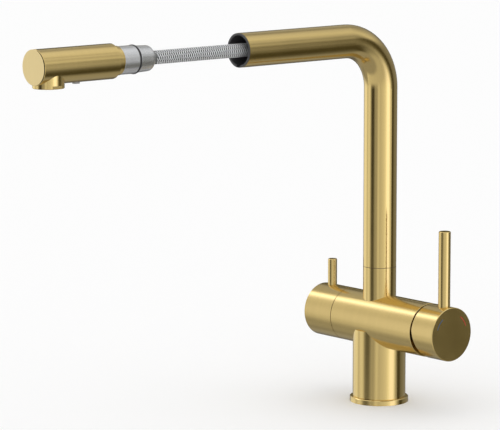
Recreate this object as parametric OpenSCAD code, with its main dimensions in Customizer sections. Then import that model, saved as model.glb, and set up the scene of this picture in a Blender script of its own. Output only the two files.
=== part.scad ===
// Three-way kitchen mixer tap with an L-shaped swivel spout and a pull-out head.
// Millimetres, +Z up. The origin is the centre of the base's underside, on the worktop.
// The spout points to -Y, the mixer handle is at +X and the filtered water handle at -X.
// The head is drawn as it stands pulled out of the spout.

/* [Spout] */
// Outer diameter of the spout tube and of the neck below it
tube_d = 28; // [26:0.5:30]
// Wall of the spout tube
tube_wall = 1.2; // [1:0.1:1.5]
// Height of the spout's level axis above the worktop
spout_axis_h = 308.2; // [260:1:340]
// Radius of the spout's bend, on the tube's centre line
bend_r = 41; // [38:1:60]
// Distance from the column's axis to the mouth of the spout
spout_reach = 155.5; // [145:1:200]
// Height of the swivel seam between neck and spout
seam_h = 116; // [112:1:126]

/* [Body] */
// Diameter of the base ring
base_ring_d = 49.5; // [48:0.5:56]
// Height of the base ring
base_ring_h = 4.5; // [4:0.1:7]
// Diameter of the column
column_d = 44.8; // [43.8:0.2:45.4]
// Diameter of the level barrel that holds both valves
cross_d = 45; // [44.6:0.2:48]
// How far the column's flat top end lies below the barrel's axis
column_drop = 7; // [5:0.5:9]
// Height of the barrel's axis above the worktop
cross_axis_h = 69.5; // [62:1:76]
// Distance from the column's axis to the barrel's right rim, at the mixer handle
cross_right = 61; // [58:1:70]
// Distance from the column's axis to the barrel's left end, at the filtered water handle
cross_left = 37; // [35:1:44]

/* [Base connections] */
// Diameter of the threaded socket for the fixing shank
socket_d = 31.4; // [30:0.2:33]
// Depth of the shank socket
socket_depth = 12; // [10:0.5:14]
// Core diameter of the M8x1 water ports
port_d = 6.9; // [6:0.1:7.1]
// Depth of the water ports
port_depth = 9; // [7:0.5:10]
// Diameter of the circle that the water ports stand on
port_circle_d = 22.2; // [22:0.1:22.6]

/* [Mixer handle] */
// Distance from the column's axis to the handle's end face
mixer_face = 87.8; // [86:0.5:100]
// Slit between the barrel's rim and the handle, above the axis
mixer_slit = 2; // [1.5:0.1:3]
// Slant of the handle's lower rim, which leaves room for the tilt
rim_slant_angle = 12; // [11:1:18]
// Height above the barrel's axis where the slant starts
slant_rise = 3; // [0:0.5:6]
// Diameter of the mixer lever pin
mixer_pin_d = 10; // [8:0.5:11]
// Distance from the column's axis to the mixer lever pin
mixer_pin_x = 78.6; // [78:0.2:80]
// Height of the mixer lever pin's top above the worktop
mixer_pin_top = 154.6; // [110:1:180]
// Full tilt of the mixer lever, from closed to open
tilt_angle = 15; // [8:1:15]

/* [Filtered water handle] */
// Distance from the column's axis to the handle's end face
filter_face = 70.9; // [68:0.5:80]
// Hairline slit between the barrel and the handle
filter_slit = 0.3; // [0.2:0.05:0.6]
// Diameter of the filtered water lever pin
filter_pin_d = 7.8; // [6:0.2:9]
// Distance from the column's axis to the filtered water lever pin
filter_pin_x = 59.6; // [59.2:0.2:61]
// Height of the filtered water lever pin's top above the worktop
filter_pin_top = 114.4; // [100:1:140]

/* [Pull-out head] */
// Diameter of the head
head_d = 27.8; // [27:0.2:29]
// Length of the head's shell, up to its shoulder
head_len = 74.6; // [70:0.2:100]
// Distance between the spout's mouth and the pulled-out head's shoulder
pulled_out = 129.1; // [60:0.1:140]
// Diameter of the round outlet under the head
outlet_d = 24.8; // [23:0.2:25]
// Distance from the head's end face to the outlet's axis
outlet_setback = 14.2; // [14.2:0.2:18]
// How far the outlet stands out below the head
outlet_drop = 2.8; // [1.5:0.1:5]
// Diameter of the filtered water nozzle
nozzle_d = 6; // [5:0.2:7]
// Distance from the head's end face to the nozzle's axis
nozzle_setback = 40.5; // [38:0.5:44]
// How far the nozzle stands out below the head
nozzle_drop = 1.1; // [0.5:0.1:3]
// Diameter of the spigot that docks in the spout
spigot_d = 22.4; // [21:0.1:22.6]
// Distance from the head's shoulder to the spigot's end
spigot_len = 23.1; // [21:0.1:26]
// Diameter of the hose nut
nut_d = 21.4; // [19:0.2:21.8]
// Length of the hose nut behind the spigot
nut_len = 14.2; // [12:0.2:17]

/* [Hose] */
// Outer diameter of the braided pull-out hose
hose_d = 11.2; // [10:0.1:11.6]
// Bore of the hose
hose_bore_d = 8.8; // [8:0.1:9]
// Bend radius of the hose inside the spout's bend
hose_bend_r = 50; // [45:1:52]
// Outer diameter of the filtered water line inside the hose
line_d = 4; // [3:0.1:4.2]
// Length of hose behind the mouth, up to the point where it stays still
hose_still_at = 60; // [55:1:80]

/* [Fits] */
// Radial gap of a seat that doesn't move
seat_fit = 0.05; // [0.02:0.01:0.1]
// Radial gap of a turning shaft in its bore
running_fit = 0.06; // [0.02:0.01:0.1]
// Film between flat faces that slide on each other
film = 0.05; // [0.03:0.01:0.1]
// Gap between the docked head and the spout's mouth
dock_gap = 0.3; // [0.2:0.05:0.6]

/* [Hidden] */
$fn = 64;
// Overrun of every cut past the solid that it leaves
cut = 1;
// Steps of a rounded corner in a turned profile
round_steps = 6;

// Visible edges
edge_chamfer = 0.5;
fine_chamfer = 0.3;

// Tube and neck
tube_r = tube_d / 2;
bore_r = tube_r - tube_wall;
seam = 0.4;
neck_top = seam_h - seam;
spout_foot = seam_h;

// Barrel
cross_r = cross_d / 2;
column_r = column_d / 2;

// Base ring and seal
base_spigot_r = 20.4;
seal_in_r = 21.4;
seal_out_r = 23.6;
seal_t = 1.6;

// Ports in the base: angle of each on the port circle, from +X
hot_angle = 28;
cold_angle = -28;
mixed_angle = -104;
filter_in_angle = 180;
filter_out_angle = 112;
drill_r = 2.2;
filter_drill_r = 1.8;
port_circle_r = port_circle_d / 2;
block_r = 15.5;
block_web = 3;
block_top = socket_depth + port_depth + block_web;
hose_way_r = 6.4;
function port_at(a) = [port_circle_r * cos(a), port_circle_r * sin(a)];

// Neck insert, which the spout turns on
insert_depth = 23.6;
insert_foot = neck_top - insert_depth;
insert_seat_r = 11.5;
insert_r = 11.2;
insert_bore_r = 7;
insert_rise = 26;
insert_top = seam_h + insert_rise;
bush_h = 5;
low_bush_rise = 1.2;
high_bush_rise = 17;
stop_rise = 10;
bush_low = seam_h + low_bush_rise;
bush_high = seam_h + high_bush_rise;
stop_h = seam_h + stop_rise;
stop_screw_r = 2;
stop_slot_w = 4.6;
stop_slot_r = 9.6;
stop_tip_r = 9.9;
swivel_angle = 60;
stop_margin_angle = 14;
ring_groove_rise = 14.5;
ring_groove_h = seam_h + ring_groove_rise;
ring_r = 11.25;
ring_section_r = 1.25;
ring_play = 0.05;
circlip_h = bush_high + bush_h + film;
circlip_t = 1;
circlip_in_r = 10.2;
circlip_out_r = 12.3;
circlip_slit = 6.8;

// Mixer cartridge, stacked from the chamber's floor towards the handle
cart_depth = 41;
cart_floor = cross_right - cart_depth;
cart_r = 17.5;
cart_bore_r = 15.6;
cart_len = 27;
cart_shoulder = cart_floor + cart_len;
cart_web = 1.6;
cart_neck_r = 13.4;
cart_neck_len = 9;
base_t = 5;
disc_foot = cart_floor + base_t;
fixed_disc_t = 3.2;
moving_disc_foot = disc_foot + fixed_disc_t + film;
moving_disc_t = 3;
moving_pocket_r = 4.3;
moving_pocket_depth = 1.8;
moving_disc_r = 11.8;
carrier_foot = moving_disc_foot + moving_disc_t;
carrier_t = 4.6;
carrier_floor = 0.6;
carrier_r = 12.2;
carrier_w = 22;
guide_foot = carrier_foot + carrier_t + film;
guide_r = 11.5;
guide_flange_r = 15.2;
guide_top = cart_shoulder + cart_neck_len + fine_chamfer;
pivot_setback = 1;
pivot_x = cart_shoulder - pivot_setback;
stem_w = 8;
stem_play = 0.1;
stem_sweep_play = 0.4;
stem_ball_r = 3.2;
stem_neck_r = 2.6;
ball_play = 0.35;
ball_x = carrier_foot + carrier_floor + ball_play + stem_ball_r;
stem_square_foot = 4.5;
pin_r = 1.6;
pin_len = 20;
nut_thread_r = 18.5;
nut_neck_gap = 0.1;
nut_h = 9;
nut_hex_af = 30;
nut_hex_depth = 5;
dome_r = 23;
dome_wall = 1.4;
dome_foot = cart_shoulder + nut_h;
dome_ring_h = 4;
dome_hole_r = 11.2;
inlet_rise = 4;
mixed_drop = 2;
mixed_side = 9.6;
filter_side = 11.9;
port_seal_w = 1.3;
port_seal_t = 1.4;
// Openings of the ceramic discs: two curved inlets above a central outlet
inlet_r = 6.2;
inlet_w = 3.2;
inlet_from_angle = 8;
inlet_span_angle = 64;
channel_h = 3.6;
channel_depth = base_t / 2;

// Mixer handle
mixer_rim = cross_right + mixer_slit;
hub_pocket_r = 19.4;
dome_clearance = 3.5;
mixer_floor = pivot_x + dome_r + dome_clearance;
stem_cover = 3.3;
stem_end = mixer_face - stem_cover;
pin_sink = 8;
stud_r = 3;
stud_len = 8;
set_screw_r = 2.5;
set_screw_len = 7;
hex_key_af = 2.5;
hex_key_depth = 2.5;
mark_r = 17;
mark_w = 0.8;
mark_depth = 0.4;
mark_from_angle = 36;
mark_span_angle = 35;

// Filtered water valve, measured along -X
head_floor = 16;
head_thread_r = 9;
head_seal_t = 1.5;
head_seal_in_r = 4.8;
head_cavity_r = 7;
head_disc_t = 2.5;
head_disc_r = 6.8;
head_flange_af = 20;
head_flange_t = 4;
head_nose_r = 7.5;
head_nose_len = 6;
head_window_r = 1.8;
gallery_r = 12.2;
gallery_w = 3.4;
body_boss_r = 17;
body_boss_len = 5;
headwork_flange = cross_left + body_boss_len;
spindle_r = 4;
spindle_flange_r = 6.4;
spindle_flange_t = 2;
head_cavity_len = 2 * head_disc_t + 3 * film + spindle_flange_t;
gallery_x = head_floor + head_seal_t + head_cavity_len - gallery_w;
gallery_mid = gallery_x + gallery_w / 2;
filter_hub_depth = 18;
filter_floor = cross_left + filter_hub_depth;
filter_stud_r = 2.5;
filter_screw_r = 2;
filter_screw_len = 6;
filter_key_af = 2;
filter_key_depth = 2;

// Mouth of the spout
sleeve_bore_r = 12;
sleeve_flange_t = 0.8;
sleeve_flange_inset = 0.1;
sleeve_len = 32;
sleeve_lead = 0.4;
notch_w = 4.8;
notch_depth = 3.2;
notch_r = 13.3;
sleeve_key_wall = 0.7;
sleeve_key_w = notch_w + 2 * sleeve_key_wall;
sleeve_key_len = notch_depth + sleeve_key_wall;

// Head, measured along -Y from the column's axis
head_r = head_d / 2;
head_wall = 1.4;
head_bore_r = head_r - head_wall;
head_rear = spout_reach + pulled_out;
head_front = head_rear + head_len;
cap_t = 1.7;
cap_gap = 0.15;
cap_face_t = 0.5;
cap_groove = 0.7;
cap_edge = 0.15;
shell_front = head_front - cap_face_t - cap_groove;
lip_t = 2.2;
spigot_r = spigot_d / 2;
spigot_end = head_rear - spigot_len;
core_setback = 7.4;
core_rear = head_rear + core_setback;
spigot_thread_r = 9;
spigot_thread_len = 8;
spigot_bore_r = 5.5;
head_neck_r = 11.6;
head_neck_len = 5.8;
spigot_seat = head_rear - head_neck_len;
spigot_shaft_r = 9.6;
key_w = 4.2;
key_r = 13;
key_len = 2.6;
oring_back = 1.9;
oring_section_r = 1.2;
oring_proud = 0.45;
oring_out_r = spigot_r + oring_proud;
oring_mid_r = oring_out_r - oring_section_r;
nut_end = spigot_end - nut_len;
nut_round = 2.8;
nut_taper = 0.5;
nut_thread_in_r = 7.4;
nut_thread_len = 8.5;
washer_t = 1;
washer_in_r = 4.5;
valve_r = 6.4;
valve_len = 17;
valve_bore_r = 3.4;
valve_lip_t = 1;
ferrule_r = 5.5;
ferrule_tail_len = 4.6;
ferrule_end = nut_end - ferrule_tail_len;
nipple_flange_len = 7.9;
nipple_tail_len = 26;
nipple_bore_r = 3.3;
outlet_y = head_front - outlet_setback;
nozzle_y = head_front - nozzle_setback;
outlet_r = outlet_d / 2;
outlet_foot = head_r + outlet_drop;
collar_top = 3.4;
collar_flat_depth = 0.9;
collar_flat_h = 2.6;
collar_bore_r = 11;
collar_lip_r = 9.9;
collar_lip_t = 1.5;
chamber_r = 9;
chamber_top = 6.5;
feed_r = 2.6;
feed_rise = 5;
aerator_t = 9;
aerator_skin = 2.4;
aerator_rim = 1.4;
cell_af = 2.6;
cell_pitch = 3.3;
cell_rings = 2;
nozzle_bore_r = 1.9;
nozzle_top = 4;
nozzle_foot = head_r + nozzle_drop;

// Hose and line
hose_r = hose_d / 2;
hose_bore_r = hose_bore_d / 2;
line_r = line_d / 2;
line_bore_r = 1.25;
tail_len = 20;
tail_top = socket_depth + tail_len;
tail_r = hose_way_r - seat_fit;
tail_port_r = 4.45;
tail_port_len = 8;
tail_web = 2;
nipple_foot = spigot_end + nut_thread_len;
ferrule_foot = nipple_foot - nipple_flange_len - film;
washer_front = nipple_foot + washer_t;
line_plug = 11;
line_front = core_rear + line_plug;

// Turns a shape that stands on +Z to lie along +X, -X, +Y or -Y.
module to_right() { rotate([0, 90, 0]) children(); }
module to_left() { rotate([0, -90, 0]) children(); }
module to_back() { rotate([-90, 0, 0]) children(); }
module to_front() { rotate([90, 0, 0]) children(); }

// Stands a shape at distance x along the barrel's axis, growing towards the mixer handle.
module on_barrel(x) { translate([x, 0, cross_axis_h]) to_right() children(); }

// The same towards the filtered water handle, with x counted along -X.
module on_left(x) { translate([-x, 0, cross_axis_h]) to_left() children(); }

// Stands a shape at distance y along the spout's axis, growing towards the column.
module on_spout(y) { translate([0, -y, spout_axis_h]) to_back() children(); }

// Points of a round corner: centre, radius, first and last angle.
function corner(c, r, a0, a1) = [
  for (i = [0 : round_steps])
    let (a = a0 + (a1 - a0) * i / round_steps) [c[0] + r * cos(a), c[1] + r * sin(a)]];

// Round rod with chamfered ends.
module rod(r, h, low = 0, high = 0) {
  rotate_extrude()
    polygon([[0, 0], [r - low, 0], [r, low], [r, h - high], [r - high, h], [0, h]]);
}

// Round sleeve between two radii.
module ring(r_out, r_in, h) {
  difference() {
    cylinder(r = r_out, h = h);
    translate([0, 0, -cut]) cylinder(r = r_in, h = h + 2 * cut);
  }
}

// Round ring of round section.
module o_ring(r_mid, r_section) {
  rotate_extrude() translate([r_mid, 0]) circle(r_section);
}

// Hexagon prism given by its width across flats.
module hex(af, h) { cylinder(r = af / 2 / cos(30), h = h, $fn = 6); }

// Headless screw with a hexagon socket in its foot.
module grub_screw(r, len, key_af, key_depth) {
  difference() {
    rod(r, len, fine_chamfer, fine_chamfer);
    translate([0, 0, -cut]) hex(key_af, key_depth + cut);
  }
}

// Bar bent round an axis: middle radius, width, thickness, start angle and span.
module arc_bar(r, w, t, from, span) {
  rotate([0, 0, from]) rotate_extrude(angle = span) translate([r - w / 2, 0]) square([w, t]);
}

// Solid that follows a bent run: up the column's axis, round the bend and level to -Y.
module bent_run(r, foot, bend, mouth) {
  translate([0, 0, foot]) cylinder(r = r, h = spout_axis_h - bend - foot);
  translate([0, -bend, spout_axis_h - bend]) rotate([90, 0, 90])
    rotate_extrude(angle = 90) translate([bend, 0]) circle(r);
  translate([0, -bend, spout_axis_h]) to_front() cylinder(r = r, h = mouth - bend);
}

// Base ring, with the groove for its seal underneath.
module base_ring() {
  color("goldenrod") difference() {
    rod(base_ring_d / 2, base_ring_h, 0, edge_chamfer);
    translate([0, 0, -cut]) cylinder(r = base_spigot_r + seat_fit, h = base_ring_h + 2 * cut);
    translate([0, 0, -cut]) ring(seal_out_r + seat_fit, seal_in_r - seat_fit, seal_t + cut);
  }
}

// Flat seal between the base ring and the worktop.
module base_seal() { color("dimgray") ring(seal_out_r, seal_in_r, seal_t); }

// Water way from a port of the inlet block up to a level in the barrel.
module riser(a, r, top) {
  translate([port_at(a)[0], port_at(a)[1], block_top - cut]) cylinder(r = r, h = top - block_top + cut);
}

// Level water way at side y and height z, between two distances along the barrel.
module gallery(y, z, r, x0, x1) { translate([x0, y, z]) to_right() cylinder(r = r, h = x1 - x0); }

// Cast body: column, level barrel and neck in one, with both valve chambers and the water ways.
module valve_body() {
  inlet_z = cross_axis_h + inlet_rise;
  mixed_z = cross_axis_h - mixed_drop;
  color("darkgoldenrod") difference() {
    union() {
      cylinder(r = base_spigot_r, h = base_ring_h + cut);
      translate([0, 0, base_ring_h]) cylinder(r = column_r, h = cross_axis_h - column_drop - base_ring_h);
      on_left(-cross_right) rod(cross_r, cross_right + cross_left, fine_chamfer, fine_chamfer);
      on_left(cross_left - cut) cylinder(r = body_boss_r, h = body_boss_len + cut);
      translate([0, 0, cross_axis_h]) cylinder(r = tube_r, h = neck_top - cross_axis_h);
    }
    // Shank socket, seat of the inlet block, way of the hose and seat of the neck insert
    translate([0, 0, -cut]) cylinder(r = socket_d / 2, h = socket_depth + cut);
    translate([0, 0, socket_depth - cut]) cylinder(r = block_r, h = block_top - socket_depth + cut);
    translate([0, 0, block_top - cut]) cylinder(r = hose_way_r, h = insert_foot - block_top + 2 * cut);
    translate([0, 0, insert_foot]) cylinder(r = insert_seat_r + seat_fit, h = neck_top - insert_foot + cut);
    // Chamber of the mixer cartridge, with the wider threaded mouth
    on_barrel(cart_floor) cylinder(r = cart_r + seat_fit, h = cart_depth);
    on_barrel(cart_shoulder - film) cylinder(r = nut_thread_r + seat_fit, h = cart_depth - cart_len + cut);
    // Chamber of the filtered water valve, with its ring gallery
    on_left(head_floor) cylinder(r = head_thread_r + seat_fit, h = headwork_flange - head_floor + cut);
    on_left(gallery_x) cylinder(r = gallery_r, h = gallery_w);
    // Water ways of the mixer
    riser(hot_angle, drill_r, inlet_z);
    riser(cold_angle, drill_r, inlet_z);
    riser(mixed_angle, drill_r, mixed_z);
    for (a = [hot_angle, cold_angle])
      gallery(port_at(a)[1], inlet_z, drill_r, port_at(a)[0], cart_floor + cut);
    gallery(-mixed_side, mixed_z, drill_r, port_at(mixed_angle)[0], cart_floor + cut);
    // Water ways of the filtered water valve
    riser(filter_in_angle, filter_drill_r, cross_axis_h);
    riser(filter_out_angle, filter_drill_r, cross_axis_h);
    gallery(0, cross_axis_h, filter_drill_r, -head_floor - cut, port_at(filter_in_angle)[0]);
    gallery(filter_side, cross_axis_h, filter_drill_r, -gallery_mid, port_at(filter_out_angle)[0]);
  }
}

// Brass block in the column's foot that carries the five water ports round the hose.
module inlet_block() {
  color("peru") difference() {
    translate([0, 0, socket_depth]) cylinder(r = block_r - seat_fit, h = block_top - socket_depth);
    translate([0, 0, socket_depth - cut]) cylinder(r = hose_way_r, h = block_top - socket_depth + 2 * cut);
    for (a = [hot_angle, cold_angle, mixed_angle, filter_in_angle, filter_out_angle])
      translate([port_at(a)[0], port_at(a)[1], socket_depth - cut]) {
        cylinder(r = port_d / 2, h = port_depth + cut);
        cylinder(r = drill_r, h = block_top - socket_depth + 2 * cut);
      }
  }
}

// Lower end fitting of the pull-out hose, with a port for the run below the worktop.
module hose_tail_fitting() {
  color("peru") translate([0, 0, socket_depth]) difference() {
    cylinder(r = tail_r, h = tail_top - socket_depth);
    translate([0, 0, -cut]) cylinder(r = tail_port_r, h = tail_port_len + cut);
    translate([0, 0, tail_port_len + tail_web]) cylinder(r = hose_bore_r, h = tail_top);
    for (i = [0 : 3]) rotate([0, 0, 90 * i])
      translate([(line_r + hose_bore_r) / 2, 0, tail_port_len - cut])
        cylinder(r = (hose_bore_r - line_r) / 3, h = tail_web + 2 * cut);
    translate([0, 0, tail_port_len - cut]) cylinder(r = line_bore_r, h = tail_web + 2 * cut);
  }
}

// Brass insert in the neck, with the slot that the swivel stop runs in.
module neck_insert() {
  slot_half_angle = swivel_angle + stop_margin_angle;
  color("peru") difference() {
    union() {
      translate([0, 0, insert_foot]) cylinder(r = insert_seat_r, h = neck_top - insert_foot);
      translate([0, 0, insert_foot]) rod(insert_r, insert_top - insert_foot, 0, edge_chamfer);
    }
    translate([0, 0, insert_foot - cut]) cylinder(r = insert_bore_r, h = insert_top - insert_foot + 2 * cut);
    translate([0, 0, stop_h - stop_slot_w / 2])
      arc_bar((stop_slot_r + tube_r) / 2, tube_r - stop_slot_r, stop_slot_w,
        90 - slot_half_angle, 2 * slot_half_angle);
    translate([0, 0, ring_groove_h]) o_ring(ring_r - ring_play, ring_section_r + ring_play);
    translate([0, 0, circlip_h - film]) ring(tube_r, circlip_in_r - seat_fit, circlip_t + 2 * film);
  }
}

// Thin plastic ring in the seam that the spout stands on.
module slip_ring() {
  color("dimgray") translate([0, 0, neck_top])
    ring(tube_r - fine_chamfer, insert_seat_r + seat_fit, seam - film);
}

// Two plastic bushes that the spout turns on.
module swivel_bushes() {
  color("whitesmoke") for (h = [bush_low, bush_high])
    translate([0, 0, h]) ring(bore_r - seat_fit, insert_r + running_fit, bush_h);
}

// Rubber ring that steadies the swivel.
module swivel_o_ring() {
  color("dimgray") translate([0, 0, ring_groove_h]) o_ring(ring_r - ring_play, ring_section_r);
}

// Spring ring above the upper bush.
module swivel_circlip() {
  color("silver") translate([0, 0, circlip_h]) difference() {
    ring(circlip_out_r, circlip_in_r, circlip_t);
    translate([0, -circlip_slit / 2, -cut])
      cube([circlip_out_r + cut, circlip_slit, circlip_t + 2 * cut]);
  }
}

// Places of the three ports in the floor of the chamber, as [y, height above the axis].
cart_ports = [
  [port_at(hot_angle)[1], inlet_rise],
  [port_at(cold_angle)[1], inlet_rise],
  [-mixed_side, -mixed_drop]];

// Round pieces on the three ports, from distance x.
module at_cart_ports(x) {
  for (p = cart_ports) translate([x, p[0], cross_axis_h + p[1]]) to_right() children();
}

// The two curved inlets of the ceramic discs.
module curved_inlets(t) {
  arc_bar(inlet_r, inlet_w, t, 180 + inlet_from_angle, inlet_span_angle);
  arc_bar(inlet_r, inlet_w, t, 180 - inlet_from_angle - inlet_span_angle, inlet_span_angle);
}

// Plastic foot of the cartridge: it leads the three ports to the openings of the discs.
module cartridge_base() {
  color("ivory") difference() {
    on_barrel(cart_floor) cylinder(r = cart_r, h = base_t);
    at_cart_ports(cart_floor - cut) cylinder(r = drill_r, h = base_t - channel_depth + 2 * cut);
    at_cart_ports(cart_floor - cut) cylinder(r = drill_r + port_seal_w + seat_fit, h = port_seal_t + cut);
    on_barrel(disc_foot - channel_depth) curved_inlets(channel_depth + cut);
    translate([disc_foot - channel_depth, -mixed_side - drill_r, cross_axis_h - mixed_drop - channel_h / 2])
      cube([channel_depth + cut, mixed_side + 2 * drill_r, channel_h]);
  }
}

// Rubber seals between the cartridge and the body.
module cartridge_seals() {
  color("dimgray") at_cart_ports(cart_floor) ring(drill_r + port_seal_w, drill_r, port_seal_t);
}

// Lower ceramic disc, which stands still.
module fixed_disc() {
  color("white") on_barrel(disc_foot) difference() {
    cylinder(r = cart_bore_r - seat_fit, h = fixed_disc_t);
    translate([0, 0, -cut]) curved_inlets(fixed_disc_t + 2 * cut);
    translate([0, 0, -cut]) cylinder(r = drill_r, h = fixed_disc_t + 2 * cut);
  }
}

// Plastic housing of the cartridge, with the neck that guides the spindle.
module cartridge_housing() {
  color("ivory") difference() {
    union() {
      on_barrel(disc_foot) cylinder(r = cart_r, h = cart_shoulder - disc_foot);
      on_barrel(cart_shoulder - cut) cylinder(r = cart_neck_r, h = cart_neck_len + cut);
    }
    on_barrel(disc_foot - cut) cylinder(r = cart_bore_r, h = cart_shoulder - cart_web - disc_foot + cut);
    on_barrel(cart_shoulder - cart_web - cut)
      cylinder(r = guide_r + running_fit, h = cart_web + cart_neck_len + 2 * cut);
  }
}

// Threaded nut that holds the cartridge down, with a hexagon recess for the key.
module retaining_nut() {
  color("peru") difference() {
    on_barrel(cart_shoulder) cylinder(r = nut_thread_r, h = nut_h);
    on_barrel(cart_shoulder - cut) cylinder(r = cart_neck_r + nut_neck_gap, h = nut_h + 2 * cut);
    on_barrel(cart_shoulder + nut_h - nut_hex_depth) hex(nut_hex_af, nut_hex_depth + cut);
  }
}

// Domed cover of the cartridge, which the handle glides over. It is turned about the pivot.
module dome_cap() {
  inner_r = dome_r - dome_wall;
  skirt_r = nut_thread_r - dome_wall;
  foot = dome_foot - pivot_x;
  color("darkgoldenrod") on_barrel(pivot_x) rotate_extrude()
    polygon(concat(
      [[skirt_r, foot], [nut_thread_r, foot]],
      corner([0, 0], dome_r, acos(nut_thread_r / dome_r), acos(dome_hole_r / dome_r)),
      corner([0, 0], inner_r, acos(dome_hole_r / inner_r), acos(skirt_r / inner_r))));
}

// Side view of the room that a bar of half height h sweeps as it tilts by angle a about its middle,
// from distance -x0 to x1.
module tilt_room(h, a, x0, x1) {
  t = h * tan(a / 2);
  polygon([
    [-x0, -h], [-t, -h], [x1, -(h + x1 * sin(a)) / cos(a)],
    [x1, h], [t, h], [-x0, (h + x0 * sin(a)) / cos(a)]]);
}

// Turning part of the cartridge: it holds the stem's pin and guides the disc carrier.
module spindle_guide() {
  slot_w = stem_w + 2 * stem_play;
  color("slategray") difference() {
    union() {
      on_barrel(carrier_foot)
        cylinder(r = guide_flange_r, h = cart_shoulder - cart_web - film - carrier_foot);
      on_barrel(guide_foot) rod(guide_r, guide_top - guide_foot, 0, edge_chamfer);
    }
    // Channel of the disc carrier
    translate([carrier_foot - cut, -carrier_w / 2 - stem_play, cross_axis_h - guide_flange_r - cut])
      cube([guide_foot - carrier_foot + cut, carrier_w + 2 * stem_play, 2 * (guide_flange_r + cut)]);
    // Room for the stem's tilt
    translate([pivot_x, slot_w / 2, cross_axis_h]) rotate([90, 0, 0]) linear_extrude(slot_w)
      tilt_room(stem_w / 2 + stem_sweep_play, tilt_angle, pivot_x - carrier_foot, dome_r);
    translate([pivot_x, -pin_len / 2 - film, cross_axis_h]) to_back()
      cylinder(r = pin_r + seat_fit, h = pin_len + 2 * film);
  }
}

// Steel pin that the stem tilts on.
module stem_pin() {
  color("silver") translate([pivot_x, -pin_len / 2, cross_axis_h]) to_back() cylinder(r = pin_r, h = pin_len);
}

// Sliding carrier of the upper ceramic disc, with the socket for the stem's ball.
module disc_carrier() {
  color("ivory") difference() {
    intersection() {
      on_barrel(carrier_foot) cylinder(r = carrier_r, h = carrier_t);
      translate([carrier_foot - cut, -carrier_w / 2, cross_axis_h - carrier_r - cut])
        cube([carrier_t + 2 * cut, carrier_w, 2 * (carrier_r + cut)]);
    }
    on_barrel(carrier_foot + carrier_floor) cylinder(r = stem_ball_r + ball_play, h = carrier_t);
  }
}

// Upper ceramic disc, with the mixing pocket in its face.
module moving_disc() {
  color("white") on_barrel(moving_disc_foot) difference() {
    cylinder(r = moving_disc_r, h = moving_disc_t);
    translate([0, 0, -cut]) cylinder(r = moving_pocket_r, h = moving_pocket_depth + cut);
  }
}

// Stem: ball in the disc carrier, pin hole at the pivot and a square end in the handle.
module mixer_stem() {
  color("silver") difference() {
    union() {
      translate([ball_x, 0, cross_axis_h]) sphere(r = stem_ball_r);
      on_barrel(ball_x) cylinder(r = stem_neck_r, h = pivot_x - ball_x);
      translate([pivot_x - stem_square_foot, -stem_w / 2, cross_axis_h - stem_w / 2])
        cube([stem_end - pivot_x + stem_square_foot, stem_w, stem_w]);
    }
    translate([pivot_x, -stem_w, cross_axis_h]) to_back() cylinder(r = pin_r + running_fit, h = 2 * stem_w);
  }
}

// Mixer handle: a cup over the dome, with a slanted lower rim and a solid outer end.
module mixer_hub() {
  color("goldenrod") difference() {
    on_barrel(mixer_rim) rod(cross_r, mixer_face - mixer_rim, 0, edge_chamfer);
    on_barrel(mixer_rim - cut) cylinder(r = hub_pocket_r, h = mixer_floor - mixer_rim + cut);
    // Slanted lower rim
    translate([mixer_rim, 0, cross_axis_h + slant_rise]) rotate([0, -rim_slant_angle, 0])
      translate([-cross_d, -cross_r - cut, -cross_d - slant_rise])
        cube([cross_d, cross_d + 2 * cut, cross_d + slant_rise]);
    // Square socket of the stem
    translate([mixer_floor - cut, -stem_w / 2 - seat_fit, cross_axis_h - stem_w / 2 - seat_fit])
      cube([stem_end - mixer_floor + cut + seat_fit, stem_w + 2 * seat_fit, stem_w + 2 * seat_fit]);
    // Seat and thread of the lever pin, and thread of the set screw
    translate([mixer_pin_x, 0, cross_axis_h + cross_r - pin_sink])
      cylinder(r = mixer_pin_d / 2 + seat_fit, h = pin_sink + cut);
    translate([mixer_pin_x, 0, cross_axis_h + cross_r - pin_sink - stud_len])
      cylinder(r = stud_r + seat_fit, h = stud_len + cut);
    translate([mixer_pin_x, 0, cross_axis_h - cross_r - cut])
      cylinder(r = set_screw_r + seat_fit, h = cross_r + cut);
    // Grooves of the two marks
    on_barrel(mixer_face - mark_depth) {
      arc_bar(mark_r, mark_w, mark_depth + cut, 180 + mark_from_angle, mark_span_angle);
      arc_bar(mark_r, mark_w, mark_depth + cut, 180 - mark_from_angle - mark_span_angle, mark_span_angle);
    }
  }
}

// Mixer lever pin, screwed into the handle.
module mixer_pin() {
  color("goldenrod") translate([mixer_pin_x, 0, cross_axis_h + cross_r - pin_sink]) {
    rod(mixer_pin_d / 2, mixer_pin_top - cross_axis_h - cross_r + pin_sink, fine_chamfer, edge_chamfer);
    translate([0, 0, -stud_len + fine_chamfer]) cylinder(r = stud_r, h = stud_len);
  }
}

// Screw that clamps the mixer handle to the stem, from below.
module mixer_set_screw() {
  color("silver") translate([mixer_pin_x, 0, cross_axis_h - stem_w / 2 - set_screw_len])
    grub_screw(set_screw_r, set_screw_len, hex_key_af, hex_key_depth);
}

// Blue inlay on the side that the lever is turned to for cold water.
module cold_mark() {
  color("steelblue") on_barrel(mixer_face - mark_depth)
    arc_bar(mark_r, mark_w, mark_depth, 180 + mark_from_angle, mark_span_angle);
}

// Red inlay on the side that the lever is turned to for hot water.
module hot_mark() {
  color("firebrick") on_barrel(mixer_face - mark_depth)
    arc_bar(mark_r, mark_w, mark_depth, 180 - mark_from_angle - mark_span_angle, mark_span_angle);
}

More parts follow.
